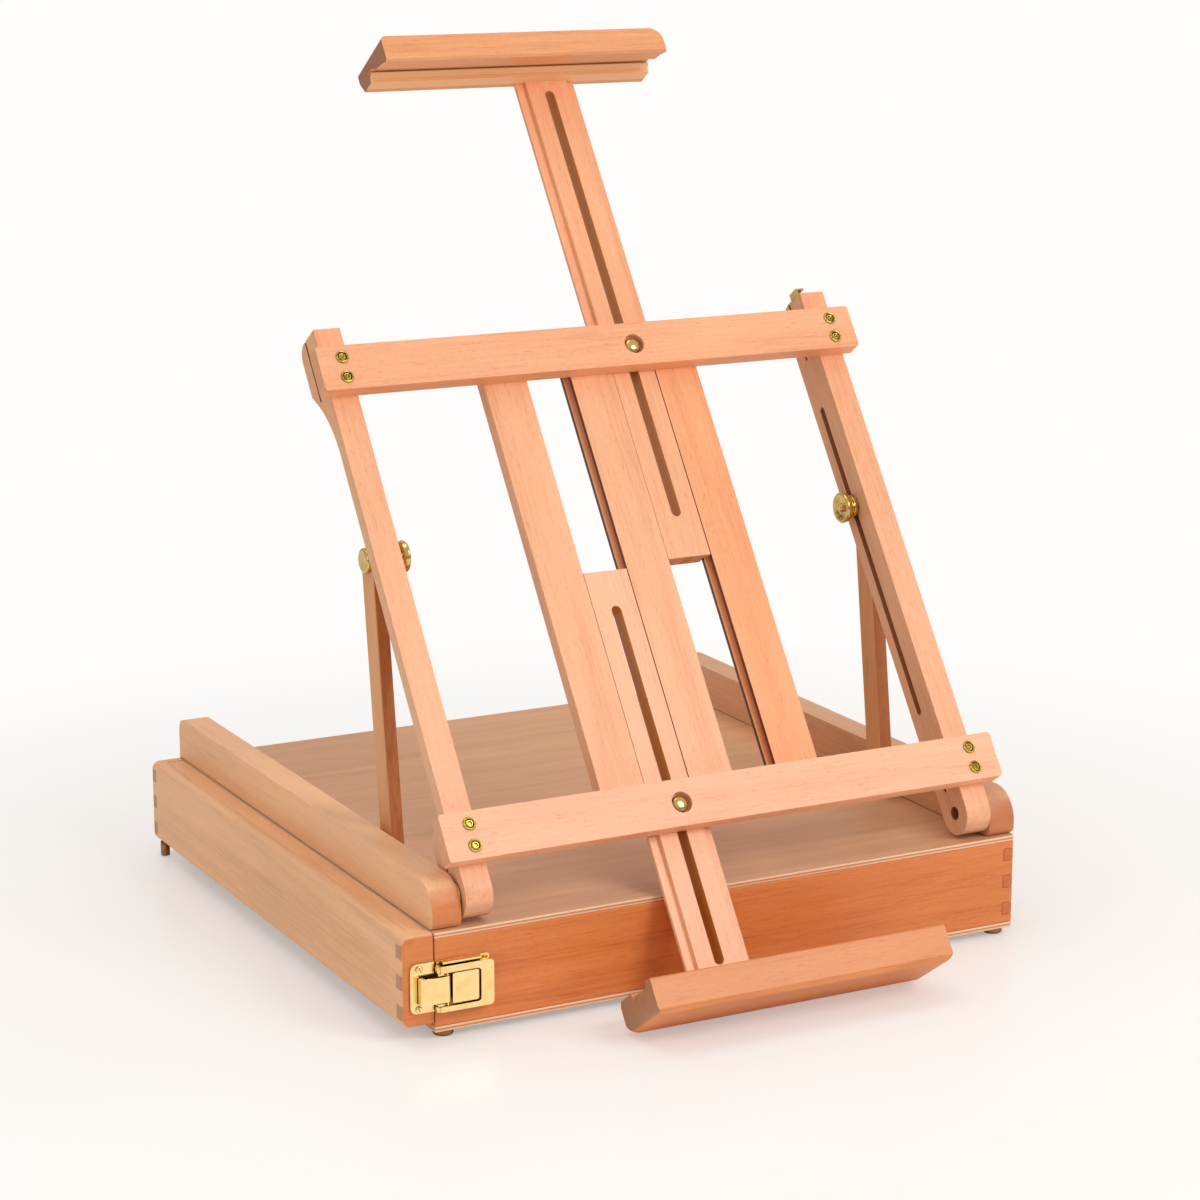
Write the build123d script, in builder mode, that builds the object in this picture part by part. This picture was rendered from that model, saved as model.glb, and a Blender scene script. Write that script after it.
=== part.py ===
from build123d import *
import math
import os

os.makedirs("parts", exist_ok=True)

# Box easel: a shallow box on four feet with a drawer that slides out to the left,
# and a leaning frame on the box with two sliding masts, held by two props.
# Origin: on the floor, in the middle of the whole easel's outline. +Z up, -Y to the front.

# Box
box_width = 392.0
box_depth = 400.0
board_t = 8.0
wall_height = 52.1
top_panel_t = 3.4
bottom_panel_t = 3.5
foot_height = 4.5
foot_d = 12.0
foot_inset = 9.0
corner_round = 3.0
pin_count = 3
wall_pin_height = 7.5
cap_pin_height = 8.5

# Drawer
cap_width = 20.0
cap_round = 5.0
cap_rise = 2.0
cap_gap = 0.4
cap_strip_t = 5.0
drawer_side_t = 7.0
drawer_bottom_t = 4.0
drawer_wall_height = 41.0
drawer_side_gap = 1.5
drawer_end_gap = 5.5
runner_width = 12.0
runner_t = 3.0
runner_reach = 156.0
runner_gap = 0.35
divider_t = 5.0
divider_y = 58.0
cross_divider_x = 30.0
cap_foot_d = 6.0

# Rails on the box
rail_t = 18.0
rail_height = 27.0
rail_setback = 2.0
rail_front_round = 19.0
rail_rear_round = 8.0

# Frame
lean = 35.0
pivot_setback = 12.5
pivot_rise = 15.5
stile_gap = 1.5
stile_width = 17.0
stile_depth = 27.0
stile_top = 351.0
low_overhang = 9.0
top_overhang = 7.0
bar_t = 10.5
bar_height = 28.5
lower_bar_u = 12.5
top_bar_u = 306.0
screw_spacing = 13.0
slat_width = 29.0
slat_t = 9.0
slat_pitch = 58.8
slat_shift = -4.0
lip_t = 3.0
groove_t = 3.0
groove_depth = 6.4
rear_lip_reach = 2.5
slat_low_inset = 9.0

# Stile slot and rebate
web_t = 6.0
flange_depth = 9.0
slot_width = 4.8
slot_low = 66.0
slot_high = 277.5
bolt_t = 3.25
kerf_t = 1.8
kerf_middle = 2.45
kerf_margin = 2.5
nut_end = 3.0
nut_half = 7.0
rebate_inset = 5.0
rebate_run = 10.0
rebate_arc_end = 30.0

# Props
prop_reach = 99.0
bolt_rest_u = 208.0
prop_t = 8.2
prop_gap = 0.4
prop_front = 7.25
prop_rear = 9.25
disc_d = 15.0
disc_t = 2.9
stud_d = 4.2
side_knob_d = 19.4

# Masts
mast_gap = 0.4
mast_front_gap = 0.3
tongue_gap = 0.3
tongue_reach = 6.0
mast_t = 11.3
mast_slot = 6.4
upper_low = 181.0
upper_slot_low = 208.0
upper_slot_high = 506.0
holder_u = 513.4
lower_high = 178.2
lower_slot_high = 155.5
tray_u = -78.0
tray_height = 20.0
tray_chamfer = 3.0
holder_half = 97.5
holder_height = 15.5
holder_block = 5.6
holder_face = 19.0
holder_rear = 3.4
lip_front = 47.5
clamp_d = 24.0
clamp_bolt_d = 5.0

# Fits
pin_d = 8.0
pin_recess = 8.0
rail_bite = 10.0
washer_gap = 0.3
prop_pin_d = 6.0
running = 0.1
catch_pin_d = 1.6

# Levels and the leaning frame's own planes
floor_z = foot_height + bottom_panel_t
cap_low = floor_z + cap_rise
wall_top = floor_z + wall_height
deck_z = wall_top + top_panel_t
half_w = box_width / 2
half_d = box_depth / 2
rail_inner = half_w - rail_t
stile_half = rail_inner - stile_gap
pivot_y = -half_d + pivot_setback
pivot_z = deck_z + pivot_rise
sin_l = math.sin(math.radians(lean))
cos_l = math.cos(math.radians(lean))
pivot = (0, pivot_y, pivot_z)
half_stile = stile_depth / 2
bar_front = half_stile + bar_t
slat_rear = half_stile - slat_t
mast_front = half_stile - mast_front_gap
mast_rear = mast_front - mast_t
bar_mid = bar_height / 2
lower_bolt_u = lower_bar_u + bar_mid
top_bolt_u = top_bar_u + bar_mid
lane_half = (slat_pitch - slat_width) / 2
lower_lane = slat_shift - slat_pitch / 2
upper_lane = slat_shift + slat_pitch / 2
# Face on: x across, y up the frame, z to the front
front_plane = Plane(origin=pivot, x_dir=(1, 0, 0), z_dir=(0, -cos_l, sin_l))
# Across the frame: x across, y to the rear, z up the frame
section_plane = Plane(origin=pivot, x_dir=(1, 0, 0), z_dir=(0, sin_l, cos_l))
# From the side: x up the frame, y to the front, z to the right
side_plane = Plane(origin=pivot, x_dir=(0, sin_l, cos_l), z_dir=(1, 0, 0))


# From the middle of the box to the middle of the whole outline, which runs from the drawer's cap
# to the right wall and from the tray's lower front edge to the back wall
tray_nose_y = pivot_y + (tray_u - tray_height + tray_chamfer) * sin_l - lip_front * cos_l
outline_middle = Location((cap_width / 2, -(half_d + tray_nose_y) / 2, 0))


def save(piece, name):
    placed = piece.moved(outline_middle)
    placed.label = name
    export_step(placed, "parts/" + name + ".step")


def block(x0, x1, y0, y1, z0, z1):
    with BuildPart() as body:
        with BuildSketch(Plane.XY.offset(z0)):
            with Locations(((x0 + x1) / 2, (y0 + y1) / 2)):
                Rectangle(x1 - x0, y1 - y0)
        extrude(amount=z1 - z0)
    return body.part


def leaning_block(x0, x1, u0, u1, w0, w1):
    with BuildPart() as body:
        with BuildSketch(front_plane.offset(w0)):
            with Locations(((x0 + x1) / 2, (u0 + u1) / 2)):
                Rectangle(x1 - x0, u1 - u0)
        extrude(amount=w1 - w0)
    return body.part


def leaning_rod(x, u, w0, w1, diameter):
    with BuildPart() as body:
        with BuildSketch(front_plane.offset(w0)):
            with Locations((x, u)):
                Circle(diameter / 2)
        extrude(amount=w1 - w0)
    return body.part


def cross_rod(y, z, x0, x1, diameter):
    with BuildPart() as body:
        with BuildSketch(Plane.YZ.offset(x0)):
            with Locations((y, z)):
                Circle(diameter / 2)
        extrude(amount=x1 - x0)
    return body.part


def turned(plane, points):
    # Solid of revolution round the plane's own y axis, from (radius, height) points
    with BuildPart() as body:
        with BuildSketch(plane):
            with BuildLine():
                Polyline(*points, close=True)
            make_face()
        revolve(axis=Axis(plane.origin, plane.y_dir), revolution_arc=360)
    return body.part


def turned_to_front(x, u, points):
    # Turned piece whose axis points to the frame's front
    spot = front_plane.from_local_coords(Vector(x, u, 0))
    return turned(Plane(origin=spot, x_dir=(1, 0, 0), z_dir=(0, -sin_l, -cos_l)), points)


def group(*pieces):
    solids = []
    for piece in pieces:
        solids.extend(piece.solids())
    return Compound(children=solids)


def mirrored(piece):
    return piece.mirror(Plane.YZ)


# Box walls with finger joints at the right corners

def wall_ring():
    with BuildPart() as walls:
        with BuildSketch(Plane.XY.offset(floor_z)):
            Rectangle(box_width, box_depth)
            with Locations((-board_t / 2, 0)):
                Rectangle(box_width - board_t, box_depth - 2 * board_t, mode=Mode.SUBTRACT)
        extrude(amount=wall_height)
        fillet(walls.edges().filter_by(Axis.Z).group_by(Axis.X)[-1], corner_round)
    return walls.part


def wall_pins():
    pitch = wall_height / pin_count
    with BuildPart() as pins:
        for i in range(pin_count):
            with BuildSketch(Plane.XY.offset(floor_z + pitch * (i + 0.5) - wall_pin_height / 2)):
                with Locations((half_w - board_t / 2, half_d - board_t / 2),
                               (half_w - board_t / 2, -half_d + board_t / 2)):
                    Rectangle(board_t, board_t)
            extrude(amount=wall_pin_height)
    return pins.part


ring = wall_ring()
pins = wall_pins()
between = block(half_w - board_t, half_w, -half_d + board_t, half_d - board_t, floor_z, wall_top)
right_region = pins + between
rest_of_walls = ring - right_region
front_half = block(-half_w, half_w, -half_d, 0, floor_z, wall_top)
back_half = block(-half_w, half_w, 0, half_d, floor_z, wall_top)
save(ring & right_region, "right_board")
save(rest_of_walls & front_half, "front_board")
save(rest_of_walls & back_half, "back_board")


# Top and bottom panels

def panel(z, thickness):
    with BuildPart() as sheet:
        with BuildSketch(Plane.XY.offset(z)):
            Rectangle(box_width, box_depth)
        extrude(amount=thickness)
        fillet(sheet.edges().filter_by(Axis.Z).group_by(Axis.X)[-1], corner_round)
    return sheet.part


save(panel(foot_height, bottom_panel_t), "bottom_panel")
save(panel(wall_top, top_panel_t), "top_panel")


# Feet under the bottom panel

def feet():
    with BuildPart() as pads:
        with BuildSketch(Plane.XY):
            with GridLocations(box_width - 2 * foot_inset, box_depth - 2 * foot_inset, 2, 2):
                Circle(foot_d / 2)
        extrude(amount=foot_height)
        fillet(pads.faces().sort_by(Axis.Z)[:4].edges(), 1.2)
    return pads.part


save(feet(), "feet")


# Drawer runners on the bottom panel

def runners():
    with BuildPart() as strips:
        with BuildSketch(Plane.XY.offset(floor_z)):
            with Locations((0, -runner_reach), (0, runner_reach)):
                Rectangle(box_width - 2 * board_t - 4, runner_width)
        extrude(amount=runner_t)
    return strips.part


save(runners(), "drawer_runners")


# Drawer cap: front board of the drawer, two finger jointed returns and a top strip

cap_left = -half_w - cap_width
cap_inner = cap_left + board_t
cap_right = -half_w - cap_gap


def cap_outer():
    with BuildPart() as cap:
        with BuildSketch(Plane.XY.offset(cap_low)):
            with Locations(((cap_left + cap_right) / 2, 0)):
                Rectangle(cap_right - cap_left, box_depth)
        extrude(amount=deck_z - cap_low)
        left = cap.faces().sort_by(Axis.X)[0]
        fillet(left.edges().filter_by(Axis.Y), cap_round)
        fillet(cap.edges().filter_by(Axis.Z).group_by(Axis.X)[0], 2)
        with BuildSketch(Plane.XY.offset(cap_low)):
            with Locations(((cap_inner + cap_right) / 2, 0)):
                Rectangle(cap_right - cap_inner, box_depth - 2 * board_t)
        extrude(amount=deck_z - cap_low, mode=Mode.SUBTRACT)
    return cap.part


def cap_returns_region():
    pitch = (deck_z - cap_low) / pin_count
    with BuildPart() as region:
        with BuildSketch(Plane.XY.offset(cap_low)):
            with Locations(((cap_inner + cap_right) / 2, 0)):
                Rectangle(cap_right - cap_inner, box_depth + 2)
        extrude(amount=deck_z - cap_low)
        for i in range(pin_count):
            with BuildSketch(Plane.XY.offset(cap_low + pitch * (i + 0.5) - cap_pin_height / 2)):
                with Locations(((cap_left + cap_inner) / 2, half_d - board_t / 2),
                               ((cap_left + cap_inner) / 2, -half_d + board_t / 2)):
                    Rectangle(board_t, board_t)
            extrude(amount=cap_pin_height)
    return region.part


cap_body = cap_outer()
returns_region = cap_returns_region()
save(cap_body - returns_region, "drawer_front")
save(cap_body & returns_region, "drawer_returns")
strip_half = half_d - board_t
save(block(cap_inner, cap_right, -strip_half, strip_half, deck_z - cap_strip_t, deck_z), "cap_strip")


def cap_foot():
    with BuildPart() as foot:
        with BuildSketch(Plane.XY.offset(0.6)):
            with Locations((cap_inner - 3.5, half_d - foot_inset)):
                Circle(cap_foot_d / 2)
        extrude(amount=cap_low - 0.6)
    return foot.part


save(cap_foot(), "cap_foot")


# Drawer box

tray_z = floor_z + runner_t + runner_gap
drawer_right = half_w - board_t - drawer_end_gap
drawer_half = half_d - board_t - drawer_side_gap
side_z = tray_z + drawer_bottom_t
drawer_top = side_z + drawer_wall_height
inner_half = drawer_half - drawer_side_t
save(block(cap_inner, drawer_right, -drawer_half, drawer_half, tray_z, side_z), "drawer_bottom")
left_side = block(cap_inner, drawer_right, -drawer_half, -inner_half, side_z, drawer_top)
save(group(left_side, left_side.mirror(Plane.XZ)), "drawer_sides")
end_left = drawer_right - drawer_side_t
save(block(end_left, drawer_right, -inner_half, inner_half, side_z, drawer_top), "drawer_end")
divider_top = drawer_top - 6
long_divider = block(cap_inner, end_left, divider_y - divider_t / 2, divider_y + divider_t / 2,
                     side_z, divider_top)
save(group(long_divider, long_divider.mirror(Plane.XZ)), "long_dividers")
save(block(cross_divider_x, cross_divider_x + divider_t, -divider_y + divider_t / 2,
           divider_y - divider_t / 2, side_z, divider_top), "cross_divider")


# Props: lower pivot behind the frame pivot, top bolt in the stile's slot

prop_y = pivot_y + prop_reach
prop_z = pivot_z - bolt_t
bolt_y = pivot_y + bolt_rest_u * sin_l + bolt_t * cos_l
bolt_z = pivot_z + bolt_rest_u * cos_l - bolt_t * sin_l
prop_length = math.hypot(bolt_y - prop_y, bolt_z - prop_z)
stile_inner = stile_half - stile_width
web_outer = stile_inner + web_t
prop_inner = web_outer + prop_gap
prop_outer = prop_inner + prop_t
# x up the prop, y to its front, z to the right
prop_dir = ((bolt_y - prop_y) / prop_length, (bolt_z - prop_z) / prop_length)
prop_plane = Plane(origin=(0, prop_y, prop_z), x_dir=(0, prop_dir[0], prop_dir[1]), z_dir=(1, 0, 0))
screw_head_d = 10.0
screw_head_t = 1.8


def prop():
    low = -prop_rear + 1
    high = prop_length + prop_front
    with BuildPart() as strut:
        with BuildSketch(prop_plane.offset(prop_inner)):
            with Locations(((low + high) / 2, (prop_front - prop_rear) / 2)):
                Rectangle(high - low, prop_front + prop_rear)
        extrude(amount=prop_t)
        ends = strut.edges().filter_by(Axis.X)
        fillet(ends, prop_front - 0.1)
        with BuildSketch(prop_plane.offset(prop_inner)):
            Circle((prop_pin_d + running) / 2)
            with Locations((prop_length, 0)):
                Circle(stud_d / 2)
        extrude(amount=prop_t, mode=Mode.SUBTRACT)
        with BuildSketch(prop_plane.offset(prop_inner)):
            Circle((screw_head_d + running) / 2)
        extrude(amount=screw_head_t + 0.3, mode=Mode.SUBTRACT)
    return strut.part


def prop_bolt():
    with BuildPart() as bolt:
        with BuildSketch(prop_plane.offset(prop_inner + 0.1)):
            with Locations((prop_length, 0)):
                Circle(stud_d / 2)
        extrude(amount=prop_t - 0.1)
        with BuildSketch(prop_plane.offset(prop_outer)):
            with Locations((prop_length, 0)):
                Circle(disc_d / 2)
        extrude(amount=disc_t)
        fillet(bolt.faces().sort_by(Axis.X)[-1].edges(), 1.4)
    return bolt.part


right_prop = prop()
right_bolt = prop_bolt()
save(right_prop, "right_prop")
save(mirrored(right_prop), "left_prop")
save(right_bolt, "right_prop_bolt")
save(mirrored(right_bolt), "left_prop_bolt")


# Pins, washers and spacers between the rails and the moving pieces

frame_pin = cross_rod(pivot_y, pivot_z, stile_inner + pin_recess, rail_inner + rail_bite, pin_d)
frame_washer = cross_rod(pivot_y, pivot_z, stile_half + washer_gap, rail_inner, 16) - frame_pin
prop_screw = (cross_rod(prop_y, prop_z, prop_inner + screw_head_t, rail_inner + rail_bite, prop_pin_d)
              + cross_rod(prop_y, prop_z, prop_inner + 0.2, prop_inner + 0.2 + screw_head_t, screw_head_d))
prop_spacer = cross_rod(prop_y, prop_z, prop_outer + washer_gap, rail_inner, 14) - prop_screw
save(group(frame_pin, mirrored(frame_pin)), "frame_pivot_pins")
save(group(prop_screw, mirrored(prop_screw)), "prop_pivot_screws")
save(group(frame_washer, mirrored(frame_washer), prop_spacer, mirrored(prop_spacer)), "pivot_spacers")


# Rails on the box

def rail():
    front = -half_d + rail_setback
    with BuildPart() as bar:
        with BuildSketch(Plane.YZ.offset(rail_inner)):
            with Locations(((front + half_d) / 2, deck_z + rail_height / 2)):
                Rectangle(half_d - front, rail_height)
        extrude(amount=rail_t)
        along = bar.edges().filter_by(Axis.X)
        fillet(along.group_by(Axis.Y)[0].sort_by(Axis.Z)[-1], rail_front_round)
        fillet(bar.edges().filter_by(Axis.X).group_by(Axis.Y)[0].sort_by(Axis.Z)[0], 5)
        fillet(bar.edges().filter_by(Axis.X).group_by(Axis.Y)[-1].sort_by(Axis.Z)[-1], rail_rear_round)
    return bar.part - frame_pin - prop_screw


right_rail = rail()
save(right_rail, "right_rail")
save(mirrored(right_rail), "left_rail")


# Fasteners of the leaning frame

def bar_screw(x, u):
    head = turned_to_front(x, u, [(0, bar_front), (2.6, bar_front), (2.6, bar_front + 0.5),
                                  (1.7, bar_front + 1.2), (1.3, bar_front + 1.2), (0.9, bar_front + 0.3),
                                  (0, bar_front + 0.3)])
    return head + leaning_rod(x, u, -kerf_middle - kerf_t / 2, bar_front, 4)


def cup_washer(x, u):
    rim = bar_front + 1.3
    return turned_to_front(x, u, [(2.6, bar_front), (4.1, bar_front), (4, bar_front + 0.5), (3.4, rim),
                                  (3.1, rim), (2.6, bar_front + 0.5)])


def clamp_bolt(x, u):
    seat = bar_front - 4
    head = turned_to_front(x, u, [(0, seat), (5.3, seat), (5.3, seat + 1), (4.6, seat + 2.1), (3, seat + 2.9),
                                  (0, seat + 3.3)])
    return head + leaning_rod(x, u, mast_rear - 13.8, seat, clamp_bolt_d)


def slat_screw(x, u):
    return (leaning_rod(x, u, slat_rear, slat_rear + 1.6, 6.4)
            + leaning_rod(x, u, slat_rear + 1.6, half_stile + 7, 3.2))


screw_x = stile_half - stile_width / 2
screw_spots = []
for x_spot in (-screw_x, screw_x):
    for u_spot in (lower_bolt_u, top_bolt_u):
        for step in (-0.5, 0.5):
            screw_spots.append((x_spot, u_spot + step * screw_spacing))
slat_spots = []
for x_spot in (slat_shift - slat_pitch, slat_shift, slat_shift + slat_pitch):
    for u_spot in (lower_bolt_u, top_bolt_u):
        slat_spots.append((x_spot, u_spot))
bar_screws = [bar_screw(x, u) for x, u in screw_spots]
slat_screws = [slat_screw(x, u) for x, u in slat_spots]
save(group(*bar_screws), "bar_screws")
save(group(*[cup_washer(x, u) for x, u in screw_spots]), "cup_washers")
save(group(*slat_screws), "slat_screws")
upper_bolt = clamp_bolt(upper_lane, top_bolt_u)
lower_bolt = clamp_bolt(lower_lane, lower_bolt_u)
save(upper_bolt, "upper_clamp_bolt")
save(lower_bolt, "lower_clamp_bolt")


# Crossbars

def crossbar(u0, overhang, bolt, lane):
    with BuildPart() as bar:
        with BuildSketch(front_plane.offset(half_stile)):
            with Locations((0, u0 + bar_mid)):
                RectangleRounded(2 * (stile_half + overhang), bar_height, 2)
        extrude(amount=bar_t)
        with BuildSketch(front_plane.offset(bar_front)):
            with Locations((lane, u0 + bar_mid)):
                Circle(6.5)
        extrude(amount=-4, mode=Mode.SUBTRACT)
    body = bar.part - bolt
    for x, u in screw_spots:
        if abs(u - u0 - bar_mid) < bar_mid:
            body = body - leaning_rod(x, u, half_stile, bar_front, 4)
    for x, u in slat_spots:
        if abs(u - u0 - bar_mid) < bar_mid:
            body = body - leaning_rod(x, u, half_stile, half_stile + 7, 3.2)
    return body


save(crossbar(lower_bar_u, low_overhang, lower_bolt, lower_lane), "lower_crossbar")
save(crossbar(top_bar_u, top_overhang, upper_bolt, upper_lane), "top_crossbar")


# Stiles with the slotted web, the outer rebate and the saw kerfs for the nut strips

kerf_front = -kerf_middle + kerf_t / 2
nut_reach = screw_spacing / 2 + nut_end
low_kerf = (lower_bolt_u - nut_reach - kerf_margin, lower_bolt_u + nut_reach + kerf_margin)
high_kerf = (top_bolt_u - nut_reach, stile_top)
rebate_low = lower_bar_u + bar_height - rebate_inset
rebate_full = rebate_low + rebate_run
rebate_high = slot_high - 1.5
rebate_end = stile_top - rebate_arc_end
rebate_bend = (rebate_high + rebate_end) / 2 + 1.5
flange_rear = half_stile - flange_depth
past_rear = -half_stile - 2


def stile():
    with BuildPart() as post:
        with BuildSketch(side_plane.offset(stile_inner)):
            with Locations((stile_top / 2, 0)):
                Rectangle(stile_top, stile_depth)
            Circle(half_stile)
        extrude(amount=stile_width)
        top_rear = post.edges().filter_by(Axis.X).sort_by(Axis.Y)[-1]
        fillet(top_rear, 9)
        with BuildSketch(side_plane.offset(web_outer)):
            with BuildLine():
                Line((rebate_low, past_rear), (rebate_full, flange_rear))
                Line((rebate_full, flange_rear), (rebate_high, flange_rear))
                ThreePointArc((rebate_high, flange_rear), (rebate_bend, flange_rear - 6),
                              (rebate_end, past_rear))
                Line((rebate_end, past_rear), (rebate_low, past_rear))
            make_face()
        extrude(amount=stile_width - web_t, mode=Mode.SUBTRACT)
        with BuildSketch(side_plane.offset(stile_inner)):
            Circle((pin_d + running) / 2)
            with Locations(((slot_low + slot_high) / 2, -bolt_t)):
                SlotOverall(slot_high - slot_low, slot_width)
            for low, high in (low_kerf, high_kerf):
                with Locations(((low + high) / 2, -kerf_middle)):
                    Rectangle(high - low, kerf_t)
        extrude(amount=stile_width, mode=Mode.SUBTRACT)
    body = post.part
    for x, u in screw_spots:
        if x > 0:
            body = body - leaning_rod(x, u, -kerf_middle - kerf_t / 2, half_stile, 4)
    return body


right_stile = stile()
save(right_stile, "right_stile")
save(mirrored(right_stile), "left_stile")


def nut_strips():
    strips = []
    for x in (-screw_x, screw_x):
        for middle in (lower_bolt_u, top_bolt_u):
            strip = leaning_block(x - nut_half, x + nut_half, middle - nut_reach, middle + nut_reach,
                                  kerf_front - kerf_t, kerf_front)
            for sx, su in screw_spots:
                if sx == x and abs(su - middle) < nut_reach:
                    strip = strip - leaning_rod(sx, su, kerf_front - kerf_t, kerf_front, 4)
            strips.append(strip)
    return strips


save(group(*nut_strips()), "nut_strips")


# Slats, grooved along the edges that guide the masts

def slat(middle, groove_left, groove_right):
    half = slat_width / 2
    front = -half_stile
    rear = -slat_rear
    with BuildPart() as strip:
        with BuildSketch(section_plane.offset(lower_bar_u + slat_low_inset)):
            with Locations((middle, (front + rear) / 2)):
                Rectangle(slat_width, slat_t)
            for side, grooved in ((-1, groove_left), (1, groove_right)):
                if grooved:
                    with Locations((middle + side * (half + rear_lip_reach / 2), rear - lip_t / 2)):
                        Rectangle(rear_lip_reach, lip_t)
                    with Locations((middle + side * (half - groove_depth / 2), front + lip_t + groove_t / 2)):
                        Rectangle(groove_depth, groove_t, mode=Mode.SUBTRACT)
        extrude(amount=top_bar_u + bar_height - lower_bar_u - slat_low_inset)
    body = strip.part
    for (x, u), screw in zip(slat_spots, slat_screws):
        if x == middle:
            body = body - screw
    return body


save(slat(slat_shift - slat_pitch, False, True), "left_slat")
save(slat(slat_shift, True, True), "middle_slat")
save(slat(slat_shift + slat_pitch, True, False), "right_slat")


# Masts with their tongues, and the holder and the tray

def mast(lane, low, high, slot_from, slot_to):
    tongue_front = -half_stile + lip_t + tongue_gap
    tongue_rear = -half_stile + lip_t + groove_t - tongue_gap
    face_half = lane_half - mast_gap
    layers = ((face_half, -mast_front, tongue_front), (face_half + tongue_reach, tongue_front, tongue_rear),
              (face_half - rear_lip_reach, tongue_rear, -mast_rear))
    with BuildPart() as body:
        with BuildSketch(section_plane.offset(low)):
            for half, t0, t1 in layers:
                with Locations((lane, (t0 + t1) / 2)):
                    Rectangle(2 * half, t1 - t0)
        extrude(amount=high - low)
        with BuildSketch(front_plane.offset(mast_rear - 1)):
            with Locations((lane, (slot_from + slot_to) / 2)):
                SlotOverall(slot_to - slot_from, mast_slot, rotation=90)
        extrude(amount=half_stile, mode=Mode.SUBTRACT)
    return body.part


def mast_screws(lane, u):
    screws = []
    for side in (-1, 1):
        screws.append(leaning_rod(lane + side * 6.5, u, mast_rear, mast_rear + 1.6, 6.4)
                      + leaning_rod(lane + side * 6.5, u, mast_rear + 1.6, mast_rear + mast_t + 4, 3.2))
    return screws


def less(piece, cutters):
    for cutter in cutters:
        piece = piece - cutter
    return piece


def long_profile(points):
    # Points are (front distance, height up the frame)
    with BuildPart() as body:
        with BuildSketch(side_plane.offset(-holder_half)):
            with BuildLine():
                Polyline(*[(u, w) for w, u in points], close=True)
            make_face()
        extrude(amount=2 * holder_half)
    return body


def holder():
    u = holder_u
    top = u + holder_height
    body = long_profile([(holder_rear + 4, u), (holder_face, u), (holder_face, u + 3),
                         (holder_face + 3, u + 5),
                         (holder_face + 3, u + holder_block), (holder_face - 1, u + holder_block),
                         (holder_face - 1, u + holder_block + 1.2), (holder_face + 5, u + holder_block + 1.2),
                         (lip_front - 17, u + 2.6),
                         (lip_front - 9.5, u + 1.2), (lip_front - 1.5, u - 1.5), (lip_front, u - 0.3),
                         (lip_front, top), (holder_rear, top), (holder_rear, u + 8)])
    with body:
        top_ends = [e for e in body.edges().filter_by(Axis(pivot, front_plane.z_dir))
                    if abs((e.center() - Vector(*pivot)).dot(section_plane.z_dir) - top) < 0.5]
        fillet([e for e in top_ends if e.center().X > 0], 9)
        fillet([e for e in top_ends if e.center().X < 0], 3)
    return body.part


def tray():
    u = tray_u
    low = u - tray_height
    channel = bar_front - 1
    body = long_profile([(holder_rear, u - 3), (holder_rear + 2.5, u), (channel - 2.5, u),
                         (channel - 2.5, u - 5.5),
                         (channel, u - 5.5), (channel, u - 2.5), (lip_front - 8.5, u - 2.5),
                         (lip_front - 7, u + 1.3), (lip_front - 1, u + 1.3), (lip_front, u + 0.5),
                         (lip_front, low + tray_chamfer), (lip_front - 2.5, low), (holder_rear + 5, low),
                         (holder_rear, low + 6)])
    with body:
        low_ends = [e for e in body.edges().filter_by(Axis(pivot, front_plane.z_dir))
                    if abs((e.center() - Vector(*pivot)).dot(section_plane.z_dir) - low) < 0.5]
        fillet(low_ends, 5)
    return body.part


upper_body = mast(upper_lane, upper_low, holder_u + 12, upper_slot_low, upper_slot_high)
upper_screws = mast_screws(upper_lane, holder_u + 9)
lower_body = mast(lower_lane, tray_u - 14, lower_high, tray_u + 9, lower_slot_high)
lower_screws = mast_screws(lower_lane, tray_u - 8)
save(less(upper_body, upper_screws), "upper_mast")
save(less(holder(), [upper_body] + upper_screws), "top_holder")
save(less(lower_body, lower_screws), "lower_mast")
save(less(tray(), [lower_body] + lower_screws), "bottom_tray")
save(group(*upper_screws), "upper_mast_screws")
save(group(*lower_screws), "lower_mast_screws")


# Clamp knobs behind the masts, each with a washer on its bolt

def clamp_knob(x, u):
    half = clamp_d / 2
    bore = (clamp_bolt_d + running) / 2
    top = mast_rear - 1.6
    rim = [(bore, top), (6, top), (6, top - 3.5), (half - 1, top - 3.5), (half, top - 4.5),
           (half, top - 10.5),
           (half - 1.5, top - 12), (6, top - 14.5), (0, top - 15), (0, top - 12.5), (bore, top - 12.5)]
    body = turned_to_front(x, u, rim)
    flutes = []
    for i in range(8):
        angle = 2 * math.pi * i / 8
        flute_x = x + (half + 1.6) * math.cos(angle)
        flute_u = u + (half + 1.6) * math.sin(angle)
        flutes.append(leaning_rod(flute_x, flute_u, top - 15.5, top - 2.5, 6))
    return less(body, flutes)


def clamp_washer(x, u):
    rear = mast_rear - 1.3
    front = mast_rear - 0.3
    return turned_to_front(x, u, [(clamp_bolt_d / 2, rear), (8, rear), (8, front), (clamp_bolt_d / 2, front)])


save(clamp_knob(upper_lane, top_bolt_u), "upper_clamp_knob")
save(clamp_knob(lower_lane, lower_bolt_u), "lower_clamp_knob")
save(group(clamp_washer(upper_lane, top_bolt_u), clamp_washer(lower_lane, lower_bolt_u)), "clamp_washers")


# Side knobs on the stiles' inner faces: stud through the slot, washer and brass knob

stud_end = stile_inner - 6.6


def side_stud():
    with BuildPart() as stud:
        with BuildSketch(side_plane.offset(stud_end)):
            with Locations((bolt_rest_u, -bolt_t)):
                Circle(stud_d / 2)
        extrude(amount=web_outer - stud_end)
        with BuildSketch(side_plane.offset(stile_inner - 1.2)):
            with Locations((bolt_rest_u, -bolt_t)):
                Circle(7.2)
        extrude(amount=0.9)
    return stud.part


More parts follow.
